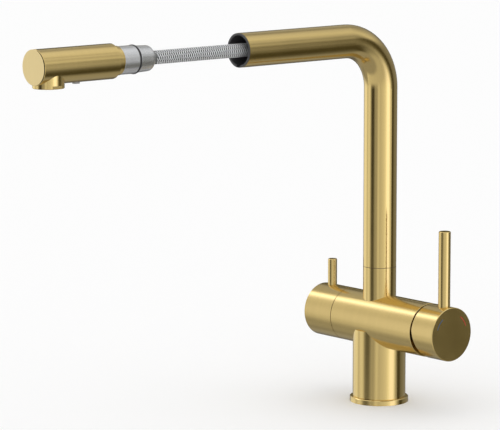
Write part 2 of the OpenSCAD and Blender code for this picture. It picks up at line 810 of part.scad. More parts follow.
// Brass body of the filtered water valve, screwed into the barrel's left end.
module headwork_body() {
  foot = head_floor + head_seal_t;
  color("peru") difference() {
    union() {
      on_left(foot) cylinder(r = head_thread_r, h = headwork_flange - foot + cut);
      on_left(headwork_flange) hex(head_flange_af, head_flange_t);
      on_left(headwork_flange) rod(head_nose_r, head_flange_t + head_nose_len, 0, edge_chamfer);
    }
    on_left(foot - cut) cylinder(r = head_cavity_r, h = head_cavity_len + cut);
    on_left(foot) cylinder(r = spindle_r + running_fit, h = filter_face);
    // Windows to the ring gallery, clear of the cavity's end
    translate([-gallery_mid, -head_thread_r - cut, cross_axis_h]) to_back()
      cylinder(r = gallery_w / 2 - seat_fit, h = 2 * (head_thread_r + cut));
  }
}

// Seal at the foot of the filtered water valve.
module headwork_seal() {
  color("dimgray") on_left(head_floor) ring(head_thread_r, head_seal_in_r, head_seal_t);
}

// Fixed ceramic disc of the filtered water valve, with two openings.
module headwork_fixed_disc() {
  color("white") on_left(head_floor + head_seal_t) difference() {
    cylinder(r = head_cavity_r - seat_fit, h = head_disc_t);
    for (s = [1, -1]) translate([s * head_disc_r / 2, 0, -cut])
      cylinder(r = head_window_r, h = head_disc_t + 2 * cut);
  }
}

// Turning ceramic disc of the filtered water valve: a disc with two side cut-outs.
module filter_disc() {
  color("white") on_left(head_floor + head_seal_t + head_disc_t + film) difference() {
    cylinder(r = head_disc_r, h = head_disc_t);
    for (s = [1, -1]) translate([0, s * head_disc_r, -cut])
      cylinder(r = head_disc_r / 2, h = head_disc_t + 2 * cut);
  }
}

// Plastic ring on the body's boss that the filtered water handle runs on.
module glide_ring() {
  color("whitesmoke") on_left(cross_left)
    ring(hub_pocket_r - running_fit, body_boss_r + seat_fit, body_boss_len - film);
}

// Spindle of the filtered water valve.
module filter_spindle() {
  driver = head_floor + head_seal_t + 2 * head_disc_t + 2 * film;
  color("silver") {
    on_left(driver) cylinder(r = spindle_flange_r, h = spindle_flange_t);
    on_left(driver) rod(spindle_r, filter_pin_x + spindle_r - driver, 0, fine_chamfer);
  }
}

// Filtered water handle: a cup over the valve's nose, with a solid outer end.
module filter_hub() {
  rim = cross_left + filter_slit;
  color("goldenrod") difference() {
    on_left(rim) rod(cross_r, filter_face - rim, 0, edge_chamfer);
    on_left(rim - cut) cylinder(r = hub_pocket_r, h = filter_floor - rim + cut);
    on_left(filter_floor - cut)
      cylinder(r = spindle_r + seat_fit, h = filter_pin_x + spindle_r + seat_fit - filter_floor + cut);
    translate([-filter_pin_x, 0, cross_axis_h + cross_r - pin_sink])
      cylinder(r = filter_pin_d / 2 + seat_fit, h = pin_sink + cut);
    translate([-filter_pin_x, 0, cross_axis_h + cross_r - pin_sink - stud_len])
      cylinder(r = filter_stud_r + seat_fit, h = stud_len + cut);
    translate([-filter_pin_x, 0, cross_axis_h - cross_r - cut])
      cylinder(r = filter_screw_r + seat_fit, h = cross_r + cut);
  }
}

// Filtered water lever pin, screwed into its handle.
module filter_pin() {
  color("goldenrod") translate([-filter_pin_x, 0, cross_axis_h + cross_r - pin_sink]) {
    rod(filter_pin_d / 2, filter_pin_top - cross_axis_h - cross_r + pin_sink, fine_chamfer, edge_chamfer);
    translate([0, 0, -stud_len + fine_chamfer]) cylinder(r = filter_stud_r, h = stud_len);
  }
}

// Screw that clamps the filtered water handle to its spindle, from below.
module filter_set_screw() {
  color("silver") translate([-filter_pin_x, 0, cross_axis_h - spindle_r - filter_screw_len])
    grub_screw(filter_screw_r, filter_screw_len, filter_key_af, filter_key_depth);
}

// Spout: one bent tube, open at the mouth, with the hole of the swivel stop at the back.
module spout_tube() {
  tube_end = spout_reach - sleeve_flange_t;
  color("goldenrod") difference() {
    bent_run(tube_r, spout_foot, bend_r, tube_end);
    bent_run(bore_r, spout_foot - cut, bend_r, tube_end + cut);
    translate([0, 0, stop_h]) to_back() cylinder(r = stop_screw_r + seat_fit, h = tube_r + cut);
    // Slot of the sleeve's key
    translate([-sleeve_key_w / 2 - seat_fit, -spout_reach, spout_axis_h - tube_r - cut])
      cube([sleeve_key_w + 2 * seat_fit, sleeve_key_len + seat_fit, tube_r - sleeve_bore_r + cut]);
  }
}

// Plastic sleeve in the spout's mouth that guides the head. Its key carries the notch for the head's key.
module mouth_sleeve() {
  color("dimgray") difference() {
    union() {
      on_spout(spout_reach - sleeve_flange_t / 2) cylinder(r = bore_r - seat_fit, h = sleeve_len);
      on_spout(spout_reach) cylinder(r = tube_r - sleeve_flange_inset, h = sleeve_flange_t);
      intersection() {
        on_spout(spout_reach) cylinder(r = tube_r - sleeve_flange_inset, h = sleeve_key_len);
        translate([-sleeve_key_w / 2, -spout_reach, spout_axis_h - tube_r])
          cube([sleeve_key_w, sleeve_key_len, tube_r - sleeve_bore_r]);
      }
    }
    on_spout(spout_reach + cut) cylinder(r = sleeve_bore_r, h = sleeve_len + 4 * cut);
    on_spout(spout_reach) cylinder(r1 = sleeve_bore_r + sleeve_lead, r2 = sleeve_bore_r, h = sleeve_lead);
    translate([-notch_w / 2, -spout_reach - cut, spout_axis_h - notch_r])
      cube([notch_w, notch_depth + cut, notch_r - sleeve_bore_r + cut]);
  }
}

// Screw at the back of the spout whose tip runs in the insert's slot.
module swivel_stop_screw() {
  color("silver") translate([0, tube_r - fine_chamfer, stop_h]) to_front()
    grub_screw(stop_screw_r, tube_r - fine_chamfer - stop_tip_r, filter_key_af, (tube_r - stop_tip_r) / 2);
}

// Pull-out hose from the point where it stays still, round the bend and down to the base.
module hose_run() {
  color("silver") difference() {
    bent_run(hose_r, tail_top + film, hose_bend_r, hose_still_at);
    bent_run(hose_bore_r, tail_top - cut, hose_bend_r, hose_still_at + cut);
  }
}

// Filtered water line inside that stretch of hose.
module line_run() {
  color("whitesmoke") difference() {
    bent_run(line_r, socket_depth + tail_port_len + tail_web + film, hose_bend_r, hose_still_at);
    bent_run(line_bore_r, socket_depth, hose_bend_r, hose_still_at + cut);
  }
}

// Stretch of hose that leaves the spout with the head.
module hose_pull() {
  color("silver") on_spout(ferrule_end) ring(hose_r, hose_bore_r, ferrule_end - hose_still_at);
}

// Filtered water line inside that stretch, up to the check valve.
module line_pull() {
  color("whitesmoke") on_spout(line_front) ring(line_r, line_bore_r, line_front - hose_still_at);
}

// Shell of the head: a tube with a shoulder and neck at the rear, and holes for the outlet and the nozzle.
module head_shell() {
  color("goldenrod") difference() {
    union() {
      on_spout(shell_front) rod(head_r, shell_front - head_rear, fine_chamfer, fine_chamfer);
      on_spout(head_rear + cut) rod(head_neck_r, head_neck_len + cut, 0, fine_chamfer);
      // Key under the neck that enters the sleeve's notch
      translate([-key_w / 2, -head_rear - cut, spout_axis_h - key_r])
        cube([key_w, key_len + cut, key_r - spigot_shaft_r]);
    }
    on_spout(shell_front + cut) cylinder(r = head_bore_r, h = shell_front - head_rear - lip_t + cut);
    on_spout(head_rear + lip_t + cut)
      cylinder(r = spigot_shaft_r + seat_fit, h = lip_t + head_neck_len + 2 * cut);
    translate([0, -outlet_y, spout_axis_h - outlet_foot])
      cylinder(r = outlet_r + seat_fit, h = outlet_foot + collar_top + film);
    translate([0, -nozzle_y, spout_axis_h - outlet_foot])
      cylinder(r = nozzle_d / 2 + seat_fit, h = outlet_foot);
  }
}

// Round plate that closes the head's front, with a narrow groove between it and the shell.
module head_end_cap() {
  color("khaki") {
    on_spout(head_front) rod(head_r, cap_face_t, cap_edge, 0);
    on_spout(head_front) cylinder(r = head_bore_r - cap_gap, h = cap_t);
  }
}

// Plastic core of the head: the mixed water's feed, the outlet's chamber and the filtered water's way.
module head_waterway() {
  thread_seat = core_rear + spigot_thread_len + film;
  color("ivory") difference() {
    on_spout(head_front - cap_t) cylinder(r = head_bore_r - seat_fit, h = head_front - cap_t - core_rear);
    // Seat of the spigot's thread
    on_spout(thread_seat) cylinder(r = spigot_thread_r + seat_fit, h = thread_seat - core_rear + cut);
    // Mixed water
    translate([0, 0, feed_rise]) on_spout(outlet_y) cylinder(r = feed_r, h = outlet_y - core_rear);
    translate([0, -outlet_y, spout_axis_h]) cylinder(r = chamber_r, h = chamber_top);
    translate([0, -outlet_y, spout_axis_h - outlet_foot])
      cylinder(r = outlet_r + seat_fit, h = outlet_foot + collar_top);
    // Filtered water
    on_spout(line_front) cylinder(r = line_r + seat_fit, h = line_plug);
    on_spout(nozzle_y) cylinder(r = line_bore_r, h = nozzle_y - core_rear);
    translate([0, -nozzle_y, spout_axis_h - outlet_foot]) {
      cylinder(r = line_bore_r, h = outlet_foot);
      cylinder(r = nozzle_d / 2 + seat_fit, h = outlet_foot - nozzle_top);
    }
  }
}

// Outlet collar: the round housing of the aerator, with a lip and two spanner flats at its foot.
module outlet_collar() {
  color("goldenrod") translate([0, -outlet_y, spout_axis_h - outlet_foot]) difference() {
    rod(outlet_r, outlet_foot + collar_top, fine_chamfer, 0);
    translate([0, 0, -cut]) cylinder(r = collar_lip_r, h = collar_lip_t + 2 * cut);
    translate([0, 0, collar_lip_t]) cylinder(r = collar_bore_r, h = outlet_foot + collar_top);
    // Two spanner flats at the foot
    for (side = [-1, 1])
      translate([side * (outlet_r - collar_flat_depth + cross_r) - cross_r, -outlet_r, -cut])
        cube([2 * cross_r, 2 * outlet_r, collar_flat_h + cut]);
  }
}

// Places of the aerator's cells, in rings round the middle.
cell_places = [for (i = [-cell_rings : cell_rings]) for (j = [-cell_rings : cell_rings])
  if (abs(i + j) <= cell_rings) [(i + j / 2) * cell_pitch, j * cell_pitch * sin(60)]];

// Aerator insert: a cup with a honeycomb face.
module aerator() {
  color("gainsboro") translate([0, -outlet_y, spout_axis_h - outlet_foot + collar_lip_t]) difference() {
    cylinder(r = collar_bore_r - seat_fit, h = aerator_t);
    translate([0, 0, aerator_skin]) cylinder(r = collar_bore_r - aerator_rim, h = aerator_t);
    for (p = cell_places) translate([p[0], p[1], -cut]) hex(cell_af, aerator_skin + 2 * cut);
  }
}

// Washer above the aerator.
module aerator_washer() {
  color("dimgray") translate([0, -outlet_y, spout_axis_h - outlet_foot + collar_lip_t + aerator_t])
    ring(collar_bore_r - seat_fit, chamber_r - aerator_rim, aerator_rim);
}

// Nozzle of the filtered water.
module filter_nozzle() {
  color("gray") translate([0, -nozzle_y, spout_axis_h - nozzle_foot]) difference() {
    rod(nozzle_d / 2, nozzle_foot - nozzle_top, fine_chamfer, 0);
    translate([0, 0, -cut]) cylinder(r = nozzle_bore_r, h = nozzle_foot - nozzle_top - nozzle_bore_r);
    cylinder(r = line_bore_r, h = nozzle_foot);
  }
}

// Chromed spigot behind the head: it docks in the spout and takes the hose.
module tail_spigot() {
  thread_end = core_rear + spigot_thread_len;
  color("gainsboro") difference() {
    union() {
      on_spout(thread_end) cylinder(r = spigot_thread_r, h = spigot_thread_len + cut);
      on_spout(core_rear) cylinder(r = spigot_shaft_r, h = core_rear - spigot_seat + cut);
      on_spout(spigot_seat) rod(spigot_r, spigot_seat - spigot_end, fine_chamfer, fine_chamfer);
    }
    on_spout(spigot_end + oring_back) o_ring(oring_mid_r, oring_section_r + ring_play);
    on_spout(thread_end + cut) cylinder(r = spigot_bore_r, h = thread_end - spigot_end);
    on_spout(washer_front + valve_len) cylinder(r = valve_r + seat_fit, h = valve_len + cut);
    on_spout(washer_front) cylinder(r = nut_thread_in_r + seat_fit, h = washer_front - spigot_end + cut);
  }
}

// Rubber ring that steadies the docked head.
module spigot_o_ring() {
  color("black") on_spout(spigot_end + oring_back) o_ring(oring_mid_r, oring_section_r);
}

// Ring-shaped check valve in the spigot, round the filtered water line.
module check_valve() {
  color("slategray") on_spout(washer_front + valve_len) difference() {
    rod(valve_r, valve_len, fine_chamfer, fine_chamfer);
    translate([0, 0, -cut]) cylinder(r = valve_bore_r, h = valve_len - valve_lip_t + cut);
    translate([0, 0, -cut]) cylinder(r = line_r + stem_play, h = valve_len + 2 * cut);
  }
}

// Washer between the hose's nipple and the spigot.
module hose_washer() {
  color("dimgray") on_spout(washer_front) ring(nut_thread_in_r, washer_in_r, washer_t);
}

// Nut that holds the hose to the spigot: threaded neck, round body and rounded end.
module hose_nut() {
  color("silver") difference() {
    union() {
      on_spout(nipple_foot) cylinder(r = nut_thread_in_r, h = nut_thread_len + cut);
      on_spout(spigot_end) rotate_extrude()
        polygon(concat([[0, 0], [nut_d / 2, 0]],
          corner([nut_d / 2 - nut_taper - nut_round, nut_len - nut_round], nut_round, 0, 90),
          [[0, nut_len]]));
    }
    on_spout(nipple_foot + cut) cylinder(r = ferrule_r + seat_fit, h = nipple_foot - nut_end + 2 * cut);
  }
}

// Nipple that the hose is pushed on.
module hose_nipple() {
  color("silver") on_spout(nipple_foot) difference() {
    union() {
      cylinder(r = ferrule_r, h = nipple_flange_len);
      rod(hose_bore_r - seat_fit, nipple_flange_len + nipple_tail_len, 0, fine_chamfer);
    }
    translate([0, 0, -cut]) cylinder(r = nipple_bore_r, h = nipple_flange_len + nipple_tail_len + 2 * cut);
  }
}

// Polished ferrule that clamps the hose's end.
module hose_ferrule() {
  color("silver") on_spout(ferrule_foot)
    ring(ferrule_r, hose_bore_r + seat_fit, ferrule_foot - ferrule_end);
}

base_ring();
base_seal();
valve_body();
inlet_block();
hose_tail_fitting();
neck_insert();
slip_ring();
swivel_bushes();
swivel_o_ring();
swivel_circlip();
cartridge_base();
cartridge_seals();
cartridge_housing();
fixed_disc();
retaining_nut();
dome_cap();
spindle_guide();
stem_pin();
disc_carrier();
moving_disc();
mixer_stem();
mixer_hub();
mixer_pin();
mixer_set_screw();
cold_mark();
hot_mark();
headwork_body();
headwork_seal();
headwork_fixed_disc();
glide_ring();
filter_spindle();
filter_disc();
filter_hub();
filter_pin();
filter_set_screw();
spout_tube();
mouth_sleeve();
swivel_stop_screw();
hose_run();
line_run();
hose_pull();
line_pull();
head_shell();
head_end_cap();
head_waterway();
outlet_collar();
aerator();
aerator_washer();
filter_nozzle();
tail_spigot();
spigot_o_ring();
check_valve();
hose_washer();
hose_nut();
hose_nipple();
hose_ferrule();
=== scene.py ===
"""Studio scene of a three-way kitchen mixer tap in brushed brass, its head pulled out on a braided hose."""

import logging
import math
from dataclasses import dataclass, field
from enum import Enum
from typing import Iterable, Sequence, Union

import bmesh
import bpy
from mathutils import Matrix, Vector


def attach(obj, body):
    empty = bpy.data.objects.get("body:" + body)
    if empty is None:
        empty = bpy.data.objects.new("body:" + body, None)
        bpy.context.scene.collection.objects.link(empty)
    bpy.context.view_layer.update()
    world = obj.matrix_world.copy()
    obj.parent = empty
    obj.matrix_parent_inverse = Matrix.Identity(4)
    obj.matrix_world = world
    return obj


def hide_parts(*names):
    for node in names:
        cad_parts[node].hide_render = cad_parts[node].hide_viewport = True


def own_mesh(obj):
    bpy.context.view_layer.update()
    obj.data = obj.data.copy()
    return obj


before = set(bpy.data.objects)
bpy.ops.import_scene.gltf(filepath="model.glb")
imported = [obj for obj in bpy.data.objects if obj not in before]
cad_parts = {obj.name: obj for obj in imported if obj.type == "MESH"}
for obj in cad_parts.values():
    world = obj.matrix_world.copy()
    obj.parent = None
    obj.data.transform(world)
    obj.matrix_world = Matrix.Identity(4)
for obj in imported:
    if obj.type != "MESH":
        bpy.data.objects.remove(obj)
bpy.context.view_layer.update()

NODES: dict[str, bpy.types.Object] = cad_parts
LOG = logging.getLogger("tap")
MM = 0.001

ORIGIN = (0.0, 0.0, 0.0)
Y_AXIS = (0.0, 1.0, 0.0)

# Axis of the spout's level stretch and of the head, above the deck
AXIS_HEIGHT = 308.2 * MM

Colour = tuple[float, float, float]


# Shader wiring


class Wire:
    """An output socket that does arithmetic by adding Math nodes to its tree."""

    def __init__(self, tree: "Tree", socket: bpy.types.NodeSocket) -> None:
        """Keeps the socket and the tree that it belongs to."""
        self.tree = tree
        self.socket = socket

    def math(self, operation: str, *others: Union["Wire", float]) -> "Wire":
        """Adds one Math node.

        Args:
            operation: Blender's name of the operation.
            others: The remaining inputs, wires or plain numbers.

        Returns:
            The node's result.
        """
        inputs = dict(enumerate((self, *others)))
        return self.tree.out(self.tree.add("ShaderNodeMath", {"operation": operation}, inputs))

    def __add__(self, other: Union["Wire", float]) -> "Wire":
        """Sum."""
        return self.math("ADD", other)

    def __sub__(self, other: Union["Wire", float]) -> "Wire":
        """Difference."""
        return self.math("SUBTRACT", other)

    def __rsub__(self, other: float) -> "Wire":
        """Difference from a number."""
        return self.math("MULTIPLY", -1.0).math("ADD", other)

    def __mul__(self, other: Union["Wire", float]) -> "Wire":
        """Product."""
        return self.math("MULTIPLY", other)

    def __truediv__(self, other: Union["Wire", float]) -> "Wire":
        """Quotient."""
        return self.math("DIVIDE", other)

    def __pow__(self, other: float) -> "Wire":
        """Power."""
        return self.math("POWER", other)

    __radd__ = __add__
    __rmul__ = __mul__

    def above(self, floor: float) -> "Wire":
        """The value, never under the floor."""
        return self.math("MAXIMUM", floor)

    def step(self, low: float, high: float) -> "Wire":
        """Smooth step from 0 at low to 1 at high."""
        inputs = {"Value": self, "From Min": low, "From Max": high}
        return self.tree.out(
            self.tree.add("ShaderNodeMapRange", {"interpolation_type": "SMOOTHSTEP"}, inputs), "Result"
        )

    def ramp(self, stops: Sequence[tuple[float, Colour]]) -> "Wire":
        """Maps the value to a colour by stops, places from 0 to 1 that each have a colour."""
        return self.tree.out(self.tree.add("ShaderNodeValToRGB", {"stops": stops}, {"Fac": self}), "Color")


class Tree:
    """A node tree with one method that adds any node."""

    def __init__(self, owner: Union[bpy.types.Material, bpy.types.World]) -> None:
        """Clears the owner's tree.

        Args:
            owner: The material or the world.
        """
        owner.use_nodes = True
        self.tree = owner.node_tree
        self.tree.nodes.clear()

    def add(self, kind: str, settings: dict | None = None, inputs: dict | None = None) -> bpy.types.Node:
        """Adds a node.

        Args:
            kind: Blender's type of the node.
            settings: Attributes to set on it, or a colour ramp's stops.
            inputs: Values or wires, by socket name or index.

        Returns:
            The node.
        """
        node = self.tree.nodes.new(kind)
        for name, value in (settings or {}).items():
            if name == "stops":
                self.set_stops(node.color_ramp.elements, value)
            else:
                setattr(node, name, value)
        for name, value in (inputs or {}).items():
            if isinstance(value, Wire):
                self.tree.links.new(value.socket, node.inputs[name])
            else:
                node.inputs[name].default_value = value
        return node

    def set_stops(
        self, elements: bpy.types.ColorRampElements, stops: Sequence[tuple[float, Colour]]
    ) -> None:
        """Gives a colour ramp its stops.

        Args:
            elements: The ramp's elements, of which a new ramp has two.
            stops: Places from 0 to 1, each with its colour.
        """
        while len(elements) < len(stops):
            elements.new(0.5)
        for element, (place, colour) in zip(elements, stops):
            element.position = place
            element.color = (*colour, 1.0)

    def out(self, node: bpy.types.Node, name: Union[str, int] = 0) -> Wire:
        """One output of a node, as a wire."""
        return Wire(self, node.outputs[name])

    def parts(self, vector: Wire) -> tuple[Wire, Wire, Wire]:
        """The three values of a vector."""
        split = self.add("ShaderNodeSeparateXYZ", inputs={0: vector})
        return self.out(split, 0), self.out(split, 1), self.out(split, 2)

    def place(self) -> tuple[Wire, Wire, Wire]:
        """The point's object coordinates, in metres."""
        return self.parts(self.out(self.add("ShaderNodeTexCoord"), "Object"))

    def vector(self, x: Union[Wire, float], y: Union[Wire, float], z: Union[Wire, float]) -> Wire:
        """Joins three values into a vector."""
        return self.out(self.add("ShaderNodeCombineXYZ", inputs={0: x, 1: y, 2: z}))

    def point(self) -> Wire:
        """The point's object coordinates as one vector."""
        return self.out(self.add("ShaderNodeTexCoord"), "Object")

    def noise(self, vector: Wire, density: float, detail: float = 2.0) -> Wire:
        """Noise from 0 to 1 over a vector, with so many spots to the metre."""
        inputs = {"Vector": vector, "Scale": density, "Detail": detail}
        return self.out(self.add("ShaderNodeTexNoise", inputs=inputs))

    def bump(self, height: Wire, strength: float, distance: float) -> Wire:
        """Normal of a height in metres times distance."""
        inputs = {"Height": height, "Strength": strength, "Distance": distance}
        return self.out(self.add("ShaderNodeBump", inputs=inputs))

    def blend(self, factor: Wire, low: Union[Wire, Colour], high: Union[Wire, Colour]) -> Wire:
        """Goes from one colour to another as the factor goes from 0 to 1.

        Args:
            factor: The share of the high colour.
            low: The colour at 0.
            high: The colour at 1.

        Returns:
            The colour between them.
        """
        low, high = (end if isinstance(end, Wire) else (*end, 1.0) for end in (low, high))
        mix = self.add("ShaderNodeMix", {"data_type": "RGBA"}, {0: factor, 6: low, 7: high})
        return self.out(mix, 2)

    def surface(self, shader: bpy.types.Node, kind: str = "ShaderNodeOutputMaterial") -> None:
        """Sends a shader to the output."""
        self.add(kind, inputs={"Surface": self.out(shader)})


# Finishes


class Grain(Enum):
    """Which way a metal surface was brushed."""

    TURNED_ABOUT_X = "turned about X"
    TURNED_ABOUT_Y = "turned about Y"
    TURNED_ABOUT_Z = "turned about Z"
    ALONG_Z = "along Z"
    ALONG_SPOUT = "along the bent spout"
    ROUND_BARREL = "turned about X on the barrel, along Z on the column and neck"


def shade(colour: Colour, share: float) -> Colour:
    """A colour made lighter or darker by a share."""
    return tuple(min(1.0, channel * share) for channel in colour)


def grey(brightness: float) -> Colour:
    """A grey of one brightness."""
    return (brightness, brightness, brightness)


@dataclass(frozen=True)
class BrushedMetal:
    """Metal with fine brush lines."""

    name: str
    colour: Colour
    grain: Grain
    roughness: float = 0.17
    metallic: float = 1.0
    spread: float = 0.05
    line_pitch: float = 0.28 * MM
    line_depth: float = 0.004 * MM
    line_strength: float = 0.5
    line_stretch: float = 0.02
    line_roughness: float = 1.6
    streak_pitch: float = 2.4 * MM
    clouds_per_metre: float = 38.0
    line_share: float = 0.45
    streak_share: float = 0.35
    cloud_share: float = 0.2
    darkest: float = 0.9
    lightest: float = 1.08
    bend_radius: float = 41.0 * MM
    barrel_height: float = 69.5 * MM
    barrel_radius: float = 22.5 * MM
    joint_start: float = 0.05 * MM
    joint_end: float = 0.3 * MM

    def lines(self, tree: Tree) -> Wire:
        """Coordinates that are stretched along the brush lines.

        Args:
            tree: The finish's tree.

        Returns:
            The coordinates as one vector.
        """
        x, y, z = tree.place()
        slow = self.line_stretch
        if self.grain is Grain.TURNED_ABOUT_X:
            return tree.vector(x, y * slow, z * slow)
        if self.grain is Grain.TURNED_ABOUT_Y:
            return tree.vector(x * slow, y, z * slow)
        if self.grain is Grain.TURNED_ABOUT_Z:
            return tree.vector(x * slow, y * slow, z)
        if self.grain is Grain.ALONG_Z:
            return tree.vector(x, y, z * slow)
        if self.grain is Grain.ROUND_BARREL:
            off_axis = z - self.barrel_height
            upright = ((y * y + off_axis * off_axis) ** 0.5).step(
                self.barrel_radius + self.joint_start, self.barrel_radius + self.joint_end
            )
            return tree.vector(x, y * (upright * (1.0 - slow) + slow), z * slow)
        rise = (z - (AXIS_HEIGHT - self.bend_radius)).above(0.0)
        back = (y + self.bend_radius).above(0.0)
        radius = (rise * rise + back * back) ** 0.5
        return tree.vector(x, radius, (y - z) * slow)

    def tint(self, tree: Tree, tone: Wire) -> Wire:
        """The metal's colour, a little lighter and darker with the tone."""
        return tree.blend(tone, shade(self.colour, self.darkest), shade(self.colour, self.lightest))

    def material(self) -> bpy.types.Material:
        """Builds the finish.

        Returns:
            The new material.
        """
        material = bpy.data.materials.new(self.name)
        tree = Tree(material)
        lines = self.lines(tree)
        fine = tree.noise(lines, 1.0 / self.line_pitch, detail=3.0)
        cloud = tree.noise(tree.point(), self.clouds_per_metre, detail=3.0)
        streaks = tree.noise(lines, 1.0 / self.streak_pitch, detail=1.0)
        tone = fine * self.line_share + streaks * self.streak_share + cloud * self.cloud_share
        uneven = (fine - 0.5) * self.line_roughness + (cloud - 0.5)
        shader = tree.add(
            "ShaderNodeBsdfPrincipled",
            inputs={
                "Base Color": self.tint(tree, tone),
                "Metallic": self.metallic,
                "Roughness": self.roughness + uneven * self.spread,
                "Normal": tree.bump(fine, self.line_strength, self.line_depth),
            },
        )
        tree.surface(shader)
        return material


@dataclass(frozen=True)
class GroovedPlate(BrushedMetal):
    """Finish of the head's end plate: painted shade behind its face, in the fine groove round it."""

    face: float = -359.2 * MM
    rim: float = 0.12 * MM
    # Painted shade: this dark colour stands in for the shadow in the groove round the face
    groove_shade_colour: Colour = (0.02, 0.014, 0.006)

    def tint(self, tree: Tree, tone: Wire) -> Wire:
        """The metal's colour on the face, and painted shade behind it."""
        # Painted shade of the groove: dark from just behind the face's rim
        behind = tree.place()[1].step(self.face + self.rim, self.face + 1.5 * self.rim)
        return tree.blend(behind, super().tint(tree, tone), self.groove_shade_colour)


@dataclass(frozen=True)
class Moulded:
    """Plastic, rubber, ceramic or enamel."""

    name: str
    colour: Colour
    roughness: float = 0.45
    specular: float = 0.5
    spread: float = 0.1
    grain_pitch: float = 0.4 * MM
    grain_depth: float = 0.01 * MM
    grain_strength: float = 0.4
    clouds_per_metre: float = 60.0
    cloud_contrast: float = 0.12

    def material(self) -> bpy.types.Material:
        """Builds the finish.

        Returns:
            The new material.
        """
        material = bpy.data.materials.new(self.name)
        tree = Tree(material)
        point = tree.point()
        fine = tree.noise(point, 1.0 / self.grain_pitch)
        cloud = tree.noise(point, self.clouds_per_metre)
        low = shade(self.colour, 1.0 - self.cloud_contrast)
        high = shade(self.colour, 1.0 + self.cloud_contrast)
        shader = tree.add(
            "ShaderNodeBsdfPrincipled",
            inputs={
                "Base Color": tree.blend(cloud, low, high),
                "Roughness": self.roughness + (fine - 0.5) * self.spread,
                "Specular IOR Level": self.specular,
                "Normal": tree.bump(fine, self.grain_strength, self.grain_depth),
            },
        )
        tree.surface(shader)
        return material


@dataclass(frozen=True)
class BraidWire:
    """Stainless wire of the hose's braid, with painted shade where a strand goes under another: the lower a
    point of the strand, the darker its colour.
    """

    name: str
    colour: Colour
    roughness: float = 0.28
    spread: float = 0.12
    metallic: float = 0.45
    layer: str = "crown"
    shadow: float = 0.01
    shadow_top: float = 0.6
    crown_foot: float = 0.8
    scratches_per_metre: float = 2600.0
    scratch_depth: float = 0.03 * MM
    scratch_strength: float = 0.4
    scratch_share: float = 0.05

    def material(self) -> bpy.types.Material:
        """Builds the finish from the pieces' crown attribute.

        Returns:
            The new material.
        """
        material = bpy.data.materials.new(self.name)
        tree = Tree(material)
        fine = tree.noise(tree.point(), self.scratches_per_metre)
        crown = tree.out(tree.add("ShaderNodeAttribute", {"attribute_name": self.layer}), "Fac")
        # Painted shade: full colour on the crowns, nearly black down in the dips between strands
        lit = crown.step(self.shadow_top, self.crown_foot)
        bright = lit * (1.0 - self.scratch_share) + fine * self.scratch_share
        shader = tree.add(
            "ShaderNodeBsdfPrincipled",
            inputs={
                "Base Color": tree.blend(bright, shade(self.colour, self.shadow), self.colour),
                "Metallic": self.metallic,
                "Roughness": self.roughness + (fine - 0.5) * self.spread,
                "Normal": tree.bump(fine, self.scratch_strength, self.scratch_depth),
            },
        )
        tree.surface(shader)
        return material


BRASS: Colour = (0.72, 0.545, 0.228)
RAW_BRASS: Colour = (0.72, 0.53, 0.26)
STEEL: Colour = (0.62, 0.61, 0.6)
CHROME: Colour = (0.7, 0.71, 0.735)

BRASS_BODY = BrushedMetal("brass_cast_body", BRASS, Grain.ROUND_BARREL)
BRASS_BARREL = BrushedMetal("brass_turned_barrel", BRASS, Grain.TURNED_ABOUT_X)
BRASS_UPRIGHT = BrushedMetal("brass_brushed_upright", BRASS, Grain.ALONG_Z)
BRASS_SPOUT = BrushedMetal("brass_brushed_spout", BRASS, Grain.ALONG_SPOUT)
BRASS_RING = BrushedMetal("brass_turned_ring", BRASS, Grain.TURNED_ABOUT_Z)
BRASS_HEAD = BrushedMetal("brass_turned_head", BRASS, Grain.TURNED_ABOUT_Y)
BRASS_CAP = GroovedPlate("brass_cap", (0.86, 0.69, 0.36), Grain.ALONG_Z, roughness=0.3)
# Darkened brass: painted shade of the narrow slit between the barrel and the mixer hub, where the dome
# shows
SHADED_BRASS_DOME = BrushedMetal("shaded_brass_dome", (0.3, 0.2, 0.07), Grain.TURNED_ABOUT_X, roughness=0.36)
TURNED_BRASS = BrushedMetal("turned_brass", RAW_BRASS, Grain.TURNED_ABOUT_Z, roughness=0.34)
CHROMED = BrushedMetal(
    "chrome_satin", CHROME, Grain.TURNED_ABOUT_Y, roughness=0.26, metallic=0.9, spread=0.03
)
TURNED_STEEL = BrushedMetal("turned_steel", STEEL, Grain.TURNED_ABOUT_Z, roughness=0.3)
WIRE = BraidWire("braid_wire", (0.96, 0.975, 0.99))
CRIMPED_STEEL = BrushedMetal("crimped_steel", (0.3, 0.3, 0.3), Grain.TURNED_ABOUT_Y, roughness=0.3)
HOSE_RUBBER = Moulded("hose_rubber", (0.03, 0.03, 0.032), roughness=0.6)
RUBBER = Moulded("black_rubber", (0.018, 0.018, 0.019), roughness=0.5)
DARK_PLASTIC = Moulded("dark_plastic", (0.045, 0.045, 0.048), roughness=0.42)
BROWN_PLASTIC = Moulded("brown_plastic", (0.1, 0.06, 0.025), roughness=0.5)
WHITE_PLASTIC = Moulded("white_plastic", (0.78, 0.78, 0.75))
GREY_PLASTIC = Moulded("grey_plastic", (0.3, 0.3, 0.3))
CERAMIC = Moulded("lapped_ceramic", (0.86, 0.85, 0.82), roughness=0.16)
BLUE_ENAMEL = Moulded("blue_enamel", (0.04, 0.08, 0.15), roughness=0.3)
RED_ENAMEL = Moulded("red_enamel", (0.4, 0.025, 0.015), roughness=0.3)

Finish = Union[BrushedMetal, Moulded, BraidWire]
_made: dict[Finish, bpy.types.Material] = {}


def material_of(finish: Finish) -> bpy.types.Material:
    """The finish's material, made once.

    Args:
        finish: The finish.

    Returns:
        Its material.
    """
    if finish not in _made:
        _made[finish] = finish.material()
    return _made[finish]


